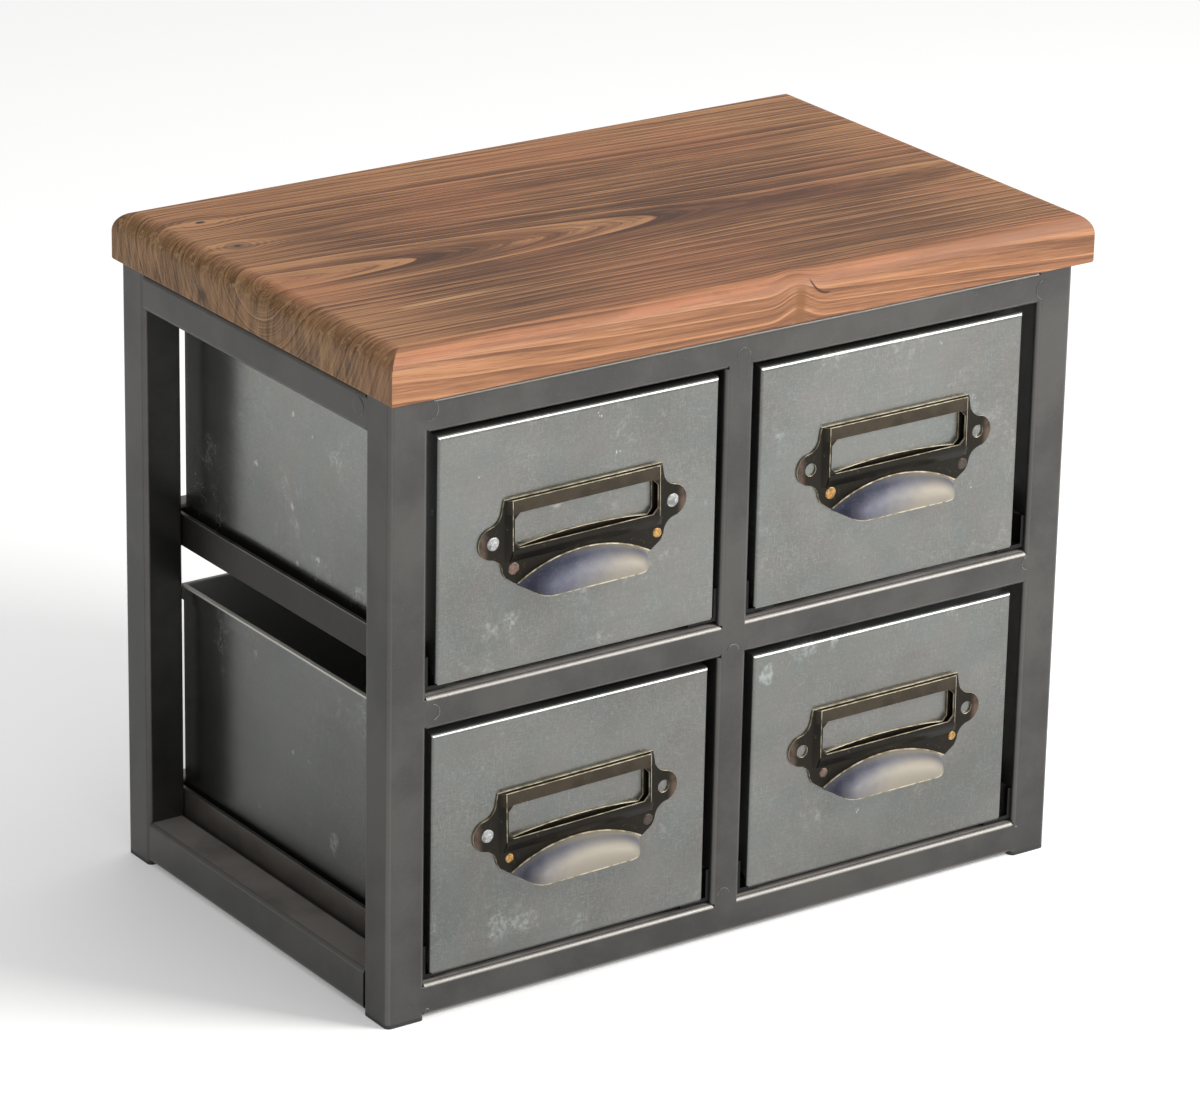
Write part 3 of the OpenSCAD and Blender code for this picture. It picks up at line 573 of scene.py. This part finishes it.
def meshObject(name, points, faces, *materials, smooth=True, parts=None):
    mesh = bpy.data.meshes.new(name)
    mesh.from_pydata([tuple(p) for p in points], [], faces)
    for material in materials:
        mesh.materials.append(material)
    if parts:
        mesh.polygons.foreach_set("material_index", parts)
    mesh.validate()
    mesh.update()
    obj = linked(name, mesh)
    if smooth:
        mesh.shade_smooth()
    return obj


def arc(cx, cy, r, start, end, steps):  # angles in degrees
    turn = [math.radians(start + (end - start) * i / steps) for i in range(steps + 1)]
    return [(cx + r * math.cos(a), cy + r * math.sin(a)) for a in turn]


# A flat outline with holes, as a sheet with rounded edges. Outlines are (across, up) in millimetres,
# and out is how far the sheet's back stands off the drawer.
def cutSheet(name, outlines, out, thick, edge):
    curve = bpy.data.curves.new(name, "CURVE")
    curve.dimensions = "2D"
    curve.fill_mode = "BOTH"
    curve.extrude = thick / 2 - edge
    curve.bevel_depth = edge
    curve.bevel_resolution = 2
    curve.offset = -edge
    for outline in outlines:
        spline = curve.splines.new("POLY")
        spline.points.add(len(outline) - 1)
        for point, (a, b) in zip(spline.points, outline):
            point.co = (a, b, 0, 1)
        spline.use_cyclic_u = True
    temp = linked(name, curve)
    graph = bpy.context.evaluated_depsgraph_get()
    mesh = bpy.data.meshes.new_from_object(temp.evaluated_get(graph))
    bpy.data.objects.remove(temp)
    points = [(v.co.x, -(v.co.z + out + thick / 2), v.co.y) for v in mesh.vertices]
    faces = [tuple(p.vertices) for p in mesh.polygons]
    bpy.data.meshes.remove(mesh)
    return points, faces


# Faces between rings of points that follow one another
def bands(rings, count, flip=False):
    faces = []
    for i in range(rings - 1):
        for k in range(count):
            a, b = i * count + k, i * count + (k + 1) % count
            faces.append((a, a + count, b + count, b) if flip else (a, b, b + count, a + count))
    return faces


# A round bead along a path
def sweepBead(path, r, sides=8):
    points = []
    for i, p in enumerate(path):
        ahead = (Vector(path[min(i + 1, len(path) - 1)]) - Vector(path[max(i - 1, 0)])).normalized()
        side = ahead.cross(Vector((0, 1, 0)))
        side = side.normalized() if side.length > 0.01 else Vector((0, 0, 1))
        over = side.cross(ahead).normalized()
        for k in range(sides):
            a = 2 * math.pi * k / sides
            points.append(Vector(p) + (side * math.cos(a) + over * math.sin(a)) * r)
    ends = [tuple(range(sides))[::-1], tuple(range((len(path) - 1) * sides, len(path) * sides))]
    return points, bands(len(path), sides) + ends


# Meshes as one. Each comes with a material number for all of it, or a function that marks each face.
def joined(parts):
    points, faces, marks = [], [], []
    for (p, f), mark in parts:
        start = len(points)
        points += [tuple(q) for q in p]
        faces += [tuple(start + i for i in face) for face in f]
        marks += mark(p, f) if callable(mark) else [mark] * len(f)
    return points, faces, marks


# Faces of a cut sheet that don't lie flat are its worn edges, which carry a painted highlight
def edgeMarks(points, faces):
    marks = []
    for face in faces:
        a, b, c = (Vector(points[i]) for i in face[:3])
        normal = (b - a).cross(c - a)
        flat = normal.length < 1e-12 or abs(normal.normalized().y) > 0.9
        marks.append(0 if flat else 1)
    return marks


# Label holder, in millimetres: heights are from the line through the ears, and depths from the drawer
holder = {"earSpan": 76.8, "earR": 6.1, "filletR": 5.95, "halfW": 34.5, "topHalfW": 33.7, "top": 15.4,
          "low": ((34.2, -12.2), (33.9, -13.0), (33.2, -14.1), (32.0, -15.0)), "tip": (29.3, -16.9),
          "sheet": 0.8, "out": 3.0, "bezelHalfW": 31.5, "bezelFoot": 33.6, "bezelTop": 15.3,
          "windowHalfW": 30.6, "windowH": 13.4, "windowBottom": -3.0, "chamfer": 2.2, "slopeBottom": -8.4,
          "edge": 0.16, "earHole": 4.8,
          "archHalfW": 28.4, "beadHalfW": 28.1, "beadR": 0.30, "sideBeadR": 0.15,
          "back": {"halfW": 29.2, "low": -3.0, "high": 12.5, "rise": 1.8, "chamfer": 2.0}}
# Finger cup: its upper edge is an arc from side to side, and its rim is narrower in front than at the sides
cup = {"halfW": 28.0, "frontW": 22.0, "out": 10.0, "top": -9.4, "side": -16.9, "sideRim": -18.0,
       "frontRim": -20.8, "cornerR": 7.0, "sheet": 0.8}
cup["rise"] = cup["top"] - cup["side"]
cup["r"] = (cup["halfW"] ** 2 + cup["rise"] ** 2) / (2 * cup["rise"])


# Height of the arc where the cup meets the plate
def creaseZ(x, r=cup["r"], top=cup["top"]):
    return top - r + math.sqrt(max(r * r - x * x, 0))


def acrossArch(halfW, steps):
    return [halfW * math.cos(math.pi * i / steps) for i in range(steps + 1)]


def holderOutline():
    h = holder
    hole = h["earSpan"] / 2
    dx = h["halfW"] + h["filletR"] - hole
    dz = math.sqrt((h["earR"] + h["filletR"]) ** 2 - dx * dx)
    turn = math.degrees(math.atan2(dz, dx))
    right = [(h["topHalfW"], h["top"]), (h["halfW"] - 0.1, dz + 0.3)]
    right += arc(h["halfW"] + h["filletR"], dz, h["filletR"], 180, 180 + turn, 8)[1:]
    right += arc(hole, 0, h["earR"], turn, -turn, 16)[1:-1]
    right += arc(h["halfW"] + h["filletR"], -dz, h["filletR"], 180 - turn, 180, 8)
    right += [*h["low"], h["tip"]]
    left = [(-a, b) for a, b in reversed(right)]
    return right + [(x, creaseZ(x)) for x in acrossArch(h["archHalfW"], 24)] + left


# A window with its corners cut off, its lower edge arched by rise
def windowOutline(halfW, low, high, cut, rise=0.0):
    points = [(halfW - cut, high), (halfW, high - cut), (halfW, low + cut)]
    points += [((halfW - cut) * (1 - i / 8), low + rise * (1 - (1 - i / 8) ** 2)) for i in range(17)]
    points += [(-halfW, low + cut), (-halfW, high - cut), (-halfW + cut, high)]
    return points


# A profile swept from one side of the holder to the other
def crossPiece(profile, halfW):
    steps, count = 12, len(profile)
    points = []
    for i in range(steps + 1):
        x = -halfW + 2 * halfW * i / steps
        points += [(x, -a, b) for a, b in profile]
    ends = [tuple(range(count)), tuple(range(steps * count, (steps + 1) * count))[::-1]]
    return points, bands(steps + 1, count, True) + ends


# One side of the bezel: a strip that slants from the plate up to the bezel's face
def slantWall(s, h):
    t = h["sheet"]
    foot, face = t - 0.05, h["out"] - 0.12
    plan = [(h["bezelFoot"], foot), (h["bezelHalfW"], face),
            (h["bezelHalfW"] - t, face), (h["bezelFoot"] - 1.5 * t, foot)]
    levels = (h["slopeBottom"] + 0.2, h["windowBottom"] - 0.5, h["bezelTop"] - 0.1)
    points = []
    for i, z in enumerate(levels):
        points += [(s * a, -(b if i else foot), z) for a, b in plan]
    ends = [(0, 3, 2, 1), (8, 9, 10, 11)] if s < 0 else [(0, 1, 2, 3), (8, 11, 10, 9)]
    return points, bands(3, 4, s > 0) + ends


def holderMesh():
    h = holder
    t, o, z0 = h["sheet"], h["out"], h["windowBottom"]
    hole = h["earSpan"] / 2
    back = h["back"]
    ears = [arc(x, 0, h["earHole"] / 2, 0, 345, 23) for x in (hole, -hole)]
    opening = windowOutline(back["halfW"], back["low"], back["high"], back["chamfer"], back["rise"])
    plate = cutSheet("plate", [holderOutline(), *ears, opening], 0, t, h["edge"])
    w = h["bezelHalfW"]
    rim = [(-w, z0 - 0.2), (-w, h["bezelTop"]), (w, h["bezelTop"]), (w, z0 - 0.2)]
    window = windowOutline(h["windowHalfW"], z0 + 0.2, z0 + h["windowH"], h["chamfer"])
    bezel = cutSheet("bezel", [rim, window], o - t, t, h["edge"])
    foot = h["slopeBottom"]
    slope = [(o, z0 + 0.15), (o, z0 - 0.6), (o - 0.15, -4.8), (o - 0.7, -6.0), (o - 1.4, -7.1),
             (t + 0.1, foot), (t, foot + 0.3), (t, foot + 1.4), (o - t - 0.9, -6.0), (o - t, -4.6),
             (o - t, z0 + 0.15)]
    parts = [(plate, edgeMarks), (bezel, edgeMarks), (crossPiece(slope, w - 0.05), 0)]
    for s in (-1, 1):
        corner = [(s * (w - 0.12), -(o - 0.12), z) for z in (z0 - 0.5, 4, 9, h["bezelTop"] - 0.2)]
        parts.append((slantWall(s, h), 0))
        parts.append((sweepBead(corner, h["sideBeadR"]), 1))
    crease = [(x, -(t + 0.25), creaseZ(x) + 0.05) for x in acrossArch(h["beadHalfW"], 36)]
    parts.append((sweepBead(crease, h["beadR"]), 1))
    return joined(parts)


def mix(a, b, t):
    return tuple(p * (1 - t) + q * t for p, q in zip(a, b))


# The rim seen from below: a slanting side, a rounded corner, then the straight front, as s goes from 0 to 1
def rimPlan(s, inset):
    halfW, frontW, out = cup["halfW"] - inset, cup["frontW"] - inset, cup["out"] - inset
    long = math.hypot(halfW - frontW, out)
    corner = (frontW, out)
    cut = cup["cornerR"] * math.tan((math.pi / 2 - math.atan((halfW - frontW) / out)) / 2)
    start = (corner[0] + (halfW - frontW) / long * cut, corner[1] - out / long * cut)
    end = (corner[0] - cut, corner[1])
    if s < 0.35:
        return mix((halfW, 0), start, s / 0.35)
    if s < 0.6:
        t = (s - 0.35) / 0.25
        return mix(mix(start, corner, t), mix(corner, end, t), t)
    return mix(end, (0, out), (s - 0.6) / 0.4)


# A point of the cup: u goes from side to side, v from the plate down to the rim
def cupPoint(u, v, inset):
    side = -1 if u < 0 else 1
    px, py = rimPlan(1 - abs(u), inset)
    cx = (cup["halfW"] - inset) * math.sin(math.radians(90 * abs(u)))
    cz = creaseZ(cx, cup["r"], cup["top"] - inset)
    rz = mix((cup["sideRim"],), (cup["frontRim"],), py / (cup["out"] - inset))[0]
    p0, p3 = (cx, cup["sheet"] - inset * 0.5, cz), (px, py, rz)
    p1 = (cx * 0.6 + px * 0.4, py * 0.62, cz - 0.12 * (cz - rz))
    p2 = (px, py, (rz + cz) / 2)
    x, y, z = (a * (1 - v) ** 3 + b * 3 * v * (1 - v) ** 2 + c * 3 * v * v * (1 - v) + d * v ** 3
               for a, b, c, d in zip(p0, p1, p2, p3))
    return (side * x, -y, z)


def cupMesh():
    across, down = 72, 18
    rows = [j / (down - 1) * 0.975 for j in range(down)] + [1]
    grids = [[cupPoint(2 * i / across - 1, v, inset) for i in range(across + 1) for v in rows]
             for inset in (0.03, cup["sheet"])]
    points = grids[0] + grids[1]
    row, inner = down + 1, len(grids[0])
    faces = []
    for i in range(across):
        for j in range(down):
            a = i * row + j
            faces.append((a, a + row, a + row + 1, a + 1))
            a += inner
            faces.append((a, a + 1, a + row + 1, a + row))
    for i in range(across):
        a = i * row
        faces.append((a, inner + a, inner + a + row, a + row))
        a += down
        faces.append((a, a + row, inner + a + row, inner + a))
    for j in range(down):
        faces.append((j, j + 1, inner + j + 1, inner + j))
        a = across * row + j
        faces.append((a, inner + a, inner + a + 1, a + 1))
    # The rim's faces take the worn edge metal with its painted highlight
    brink = {a for i in range(across + 1) for a in (i * row + down - 1, i * row + down)}
    return joined([((points, faces), lambda _, made: [int(set(f) <= brink) for f in made])])


def scaled(points):
    return [tuple(c * mm for c in p) for p in points]


# A low blob of filler metal, its edge a little uneven
def blob(center, r, rise, base, seed):
    rng = random.Random(seed)
    steps = 18
    uneven = [1 + rng.uniform(-0.07, 0.07) for _ in range(steps)]
    points = []
    for level, height in ((1.0, 0.0), (0.93, 0.5), (0.7, 0.85), (0.35, 1.0)):
        for k in range(steps):
            a = 2 * math.pi * k / steps
            points.append((center[0] + r * level * uneven[k] * math.cos(a), -(base + rise * height),
                           center[1] + r * level * uneven[k] * math.sin(a)))
    return points, bands(4, steps) + [tuple(range(3 * steps, 4 * steps))]


holderPoints, holderFaces, holderMarks = holderMesh()
cupPoints, cupFaces, cupMarks = cupMesh()
# A pull sits right of its drawer's middle and up from its lower edge, give or take its own place (right, up,
# degrees anticlockwise). Then come the metal in its ear holes, and the place, metal and radius of the spots
# at its lower corners, each from left to right.
pulls = {
    "right": 1.6, "up": 49.3, "ear": {"r": 2.7, "rise": 0.38, "base": 0.6}, "cornerRise": 0.3,
    "upper_left": {"place": (-0.1, -0.4, 1.0), "ears": (solder, solder), "seed": 3,
                   "corners": (((-29.8, -11), copper, 2.3), ((31.7, -11), brass, 1.9))},
    "upper_right": {"place": (0, 0, 0.3), "ears": (None, None), "seed": 5,
                    "corners": (((-29, -10.9), brass, 2.3), ((31.7, -11.4), duskBraze, 2.2))},
    "lower_left": {"place": (0.4, -0.1, 1.3), "ears": (solder, None), "seed": 7,
                   "corners": (((-29.1, -11), brass, 1.8), ((31.4, -11.4), duskBraze, 2.2))},
    "lower_right": {"place": (-0.1, 0.5, 0.4), "ears": (None, None), "seed": 9,
                    "corners": (((-28.2, -11), copper, 1.9), ((32, -10), brass, 1.7))},
}

for name in drawers:
    low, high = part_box(name + "_drawer_front")
    pull = pulls[name]
    right, up, turn = pull["place"]
    center = Vector(((low.x + high.x) / 2 + (pulls["right"] + right) * mm, low.y,
                     low.z + (pulls["up"] + up) * mm))
    body = name + "_drawer"
    tag = "".join(w.capitalize() for w in name.split("_"))
    plate = meshObject("labelHolder" + tag, scaled(holderPoints), holderFaces, darkPlate, edgeHighlight,
                       parts=holderMarks)
    shell = meshObject("fingerCup" + tag, scaled(cupPoints), cupFaces, cupMetal[name], edgeHighlight,
                       parts=cupMarks)
    parts, used = [], []
    for k, s in enumerate((-1, 1)):
        at, cornerMetal, size = pull["corners"][k]
        corner = blob(at, size, pulls["cornerRise"], holder["sheet"], pull["seed"] + k)
        ear = blob((s * holder["earSpan"] / 2, 0), *pulls["ear"].values(), pull["seed"] + 10 + k)
        for metal, made in ((cornerMetal, corner), (pull["ears"][k], ear)):
            if metal:
                if metal not in used:
                    used.append(metal)
                parts.append((made, used.index(metal)))
    points, faces, marks = joined(parts)
    spots = meshObject("pullWelds" + tag, scaled(points), faces, *used, parts=marks)
    for obj, node, look in ((plate, "_label_plate", "antiqued_plate"),
                            (shell, "_finger_cup", "antiqued_plate"), (spots, "_pull_welds", "braze")):
        obj.location = center
        obj.rotation_euler.y = math.radians(-turn)
        bpy.context.view_layer.update()
        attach(obj, body)
        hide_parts(name + node)
        obj.data.set_sharp_from_angle(angle=math.radians(40))
print("stage 3: pulls made")


# Welds on the frame: strips that fill the seams, ground flush, and low rounded spots, some with a raised
# outline of lighter metal whose lightness is partly a painted highlight. Places are in millimetres from the
# frame's front left bottom corner. A spot is across, height, radius, length down, and the angles between
# which its outline runs.
weldLook = {"frontSpots": ((15.8, 232.4, 3.9, 0, -100, 60), (149.6, 228.2, 2.8, 7, -10, 190),
                           (286.8, 229.1, 3.9, 0, 110, 250), (18.3, 119.2, 3.0, 0, -80, 85),
                           (148.5, 114.6, 2.5, 4, 0, 180), (284.9, 120.9, 2.7, 0, 100, 260),
                           (147.2, 17.5, 2.6, 4, 0, 180)),
            "sideSpots": ((20.7, 230.7, 3.6, 0, 100, 255),),
            "beads": ((17.1, 3.5, 0.9), (285.7, 11.6, 0.8)),
            "stand": 0.06, "beadStand": 0.18, "outlineR": 0.13, "outlineOut": 0.05,
            "strip": {"deep": 1.9, "over": 0.3, "proud": 0.01, "notch": 1.3}}


# A low spot on the plane v = 0 of (u, v, w) that stands out toward -v, drawn out downward by drop
def weldSpot(u, w, radius, drop, stand):
    rings = ((0.0, 1.0), (0.55, 1.0), (0.80, 0.85), (0.93, 0.45), (1.0, 0.0))
    steps = 28
    points, faces = [(u, -stand, w - drop / 2)], []
    for share, rise in rings[1:]:
        for i in range(steps):
            a = 2 * math.pi * i / steps
            shift = -drop if math.sin(a) < 0 else 0
            r = share * radius
            points.append((u + r * math.cos(a), -stand * rise, w + r * math.sin(a) + shift))
    for i in range(steps):
        j = (i + 1) % steps
        faces.append((0, 1 + i, 1 + j))
        for k in range(len(rings) - 2):
            a, b = 1 + k * steps, 1 + (k + 1) * steps
            faces.append((a + i, b + i, b + j, a + j))
    base = 1 + (len(rings) - 2) * steps
    faces.append(tuple(base + i for i in reversed(range(steps))))
    return points, faces


def block(x0, x1, y0, y1, z0, z1):
    points = [(x, y, z) for z in (z0, z1) for y in (y0, y1) for x in (x0, x1)]
    faces = [(0, 2, 3, 1), (4, 5, 7, 6), (0, 1, 5, 4), (2, 6, 7, 3), (0, 4, 6, 2), (1, 3, 7, 5)]
    return points, faces


def sideways(points):  # from the front of the frame to its left side
    return [(v, a, b) for a, v, b in points]


def weldMesh():
    w = weldLook
    low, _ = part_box("front_left_post")
    origin = Vector((low.x, low.y, 0)) / mm
    deep, over, proud, notch = (w["strip"][key] for key in ("deep", "over", "proud", "notch"))
    parts = [(weldSpot(*spot, w["stand"]), 0) for *spot, _, _ in w["frontSpots"]]
    parts += [(weldSpot(*bead, 0, w["beadStand"]), 0) for bead in w["beads"]]
    for *spot, _, _ in w["sideSpots"]:
        points, faces = weldSpot(*spot, w["stand"])
        parts.append(((sideways(points), [tuple(reversed(f)) for f in faces]), 0))
    for key in ("frontSpots", "sideSpots"):
        for across, up, radius, _, start, end in w[key]:
            outline = [(a, -w["outlineOut"], b) for a, b in arc(across, up, radius, start, end, 16)]
            if key == "sideSpots":
                outline = sideways(outline)
            parts.append((sweepBead(outline, w["outlineR"], 6), 1))
    # A strip in the seam at each end of a rail or stile, from a little over the seam to deep inside it
    for name in ("front_top_rail", "front_middle_rail", "front_bottom_rail"):
        railLow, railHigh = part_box(name)
        for x in (railLow.x, railHigh.x):
            at = x / mm - origin.x
            inner = -1 if x < 0 else 1
            span = sorted((at + inner * deep, at - inner * over))
            parts.append((block(*span, -proud, deep, railLow.z / mm + notch, railHigh.z / mm - notch), 0))
    for name in ("upper_stile", "lower_stile"):
        stileLow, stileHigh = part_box(name)
        for z, toward in ((stileHigh.z, 1), (stileLow.z, -1)):
            span = sorted((z / mm + toward * deep, z / mm - toward * over))
            parts.append((block(stileLow.x / mm - origin.x + notch, stileHigh.x / mm - origin.x - notch,
                                -proud, deep, *span), 0))
    sideLow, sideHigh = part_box("left_top_rail")
    at = sideLow.y / mm - origin.y
    bottom, top = sideLow.z / mm + notch, sideHigh.z / mm - notch
    parts.append((block(-proud, deep, at - deep, at + over, bottom, top), 0))
    points, faces, marks = joined(parts)
    return [tuple(a + b for a, b in zip(q, origin)) for q in points], faces, marks


weldPoints, weldFaces, weldMarks = weldMesh()
# The outlines take the lighter weld metal, partly a painted highlight
weldObject = meshObject("frameWelds", scaled(weldPoints), weldFaces, steel, seam, parts=weldMarks)
bpy.context.view_layer.update()
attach(weldObject, "frame")
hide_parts("frame_welds")
weldObject.data.set_sharp_from_angle(angle=math.radians(40))


for name, obj in nodes.items():
    if name.endswith("_foot_cap"):
        paint(obj, caps)
    elif name == "wood_top":
        paint(obj, board)
    elif name == "top_screws":
        paint(obj, zinc)
    elif name.endswith("_drawer_front"):
        paint(obj, frontSheet[name.removesuffix("_drawer_front")])
    elif name.endswith("_runner"):
        paint(obj, runnerMetal[name.split("_")[0]])
    elif name.endswith("_drawer_tray"):
        paint(obj, traySheet[name.removesuffix("_drawer_tray")])
    elif obj.users_collection and not obj.hide_render:
        paint(obj, steel)
print("stage 4: frame, drawers and board painted")


# The floor glows a little where it is seen or mirrored, so that it is nearly white round the shadow
floorLook = {"half": 4.0, "color": (0.92, 0.92, 0.92), "rough": 0.95, "specular": 0.0, "glow": 0.24}


def addFloor():
    s = Shader("paleFloor")
    half = floorLook["half"]
    s.set(floorLook)
    rays = s.node("ShaderNodeLightPath").outputs
    seen = s.most(rays["Is Camera Ray"], s.most(rays["Is Glossy Ray"], rays["Is Transmission Ray"]))
    s.feed(s.surface.inputs["Emission Color"], grey(1.0))
    s.feed(s.surface.inputs["Emission Strength"], s.mul(seen, floorLook["glow"]))
    corners = [(-half, -half, 0), (half, -half, 0), (half, half, 0), (-half, half, 0)]
    floor = meshObject("floor", corners, [(0, 1, 2, 3)], s.material, smooth=False)


# A soft room: bright above and to the right, dimmer to the left. It goes from dim to bright as a direction
# turns toward the bright side, between the two cosines in span.
roomLook = {"toward": (0.62, -0.42, 0.66), "dim": 0.07, "bright": 0.72, "span": (-0.45, 0.85)}


def lightRoom():
    world = bpy.data.worlds.new("room")
    bpy.context.scene.world = world
    world.use_nodes = True
    tree = world.node_tree
    back = tree.nodes["Background"]
    place = tree.nodes.new("ShaderNodeTexCoord").outputs["Generated"]
    aim = tree.nodes.new("ShaderNodeVectorMath")
    aim.operation = "DOT_PRODUCT"
    tree.links.new(place, aim.inputs[0])
    aim.inputs[1].default_value = Vector(roomLook["toward"]).normalized()
    level = tree.nodes.new("ShaderNodeMapRange")
    level.interpolation_type = "SMOOTHSTEP"
    tree.links.new(aim.outputs["Value"], level.inputs["Value"])
    spread = (*roomLook["span"], roomLook["dim"], roomLook["bright"])
    for key, value in zip(("From Min", "From Max", "To Min", "To Max"), spread):
        level.inputs[key].default_value = value
    tree.links.new(level.outputs[0], back.inputs["Strength"])
    back.inputs["Color"].default_value = (1, 1, 1, 1)


# Soft boxes: where each stands, what it aims at, its size in metres, its power in watts and its colour
lampLook = {"keyBox": ((0.86, -1.02, 0.98), (0, 0, 0.12), (0.55, 0.55), 23, (1.0, 0.985, 0.96)),
            "topBox": ((0.25, 0.15, 1.7), (0, 0, 0.1), (1.2, 1.0), 4, grey(1.0)),
            "leftBox": ((-1.25, 0.45, 1.05), (-0.45, 0.25, 0), (0.9, 0.9), 0.8, grey(1.0))}


def addLamp(name, at, aim, size, power, color):
    light = bpy.data.lights.new(name, "AREA")
    light.shape = "RECTANGLE"
    light.size, light.size_y = size
    light.energy = power
    light.color = color
    obj = linked(name, light)
    obj.location = at
    obj.rotation_euler = (Vector(aim) - Vector(at)).to_track_quat("-Z", "Y").to_euler()


cameraLook = {"at": (-1.11965, -1.60323, 0.87999), "aim": (-0.00077, 0.00216, 0.12248), "roll": 1.135,
              "lens": 167.2, "sensor": 36, "clip": (0.1, 20)}


def addCamera():
    look = cameraLook
    data = bpy.data.cameras.new("camera")
    data.sensor_width = look["sensor"]
    data.lens = look["lens"]
    data.clip_start, data.clip_end = look["clip"]
    obj = linked("camera", data)
    at, aim = Vector(look["at"]), Vector(look["aim"])
    roll = Matrix.Rotation(math.radians(look["roll"]), 3, "Z")
    turn = (aim - at).to_track_quat("-Z", "Y").to_matrix() @ roll
    obj.matrix_world = Matrix.Translation(at) @ turn.to_4x4()
    bpy.context.scene.camera = obj


addFloor()
lightRoom()
for name, look in lampLook.items():
    addLamp(name, *look)
addCamera()
bpy.context.scene.view_settings.view_transform = "Standard"
print("stage 5: floor, light and camera set")
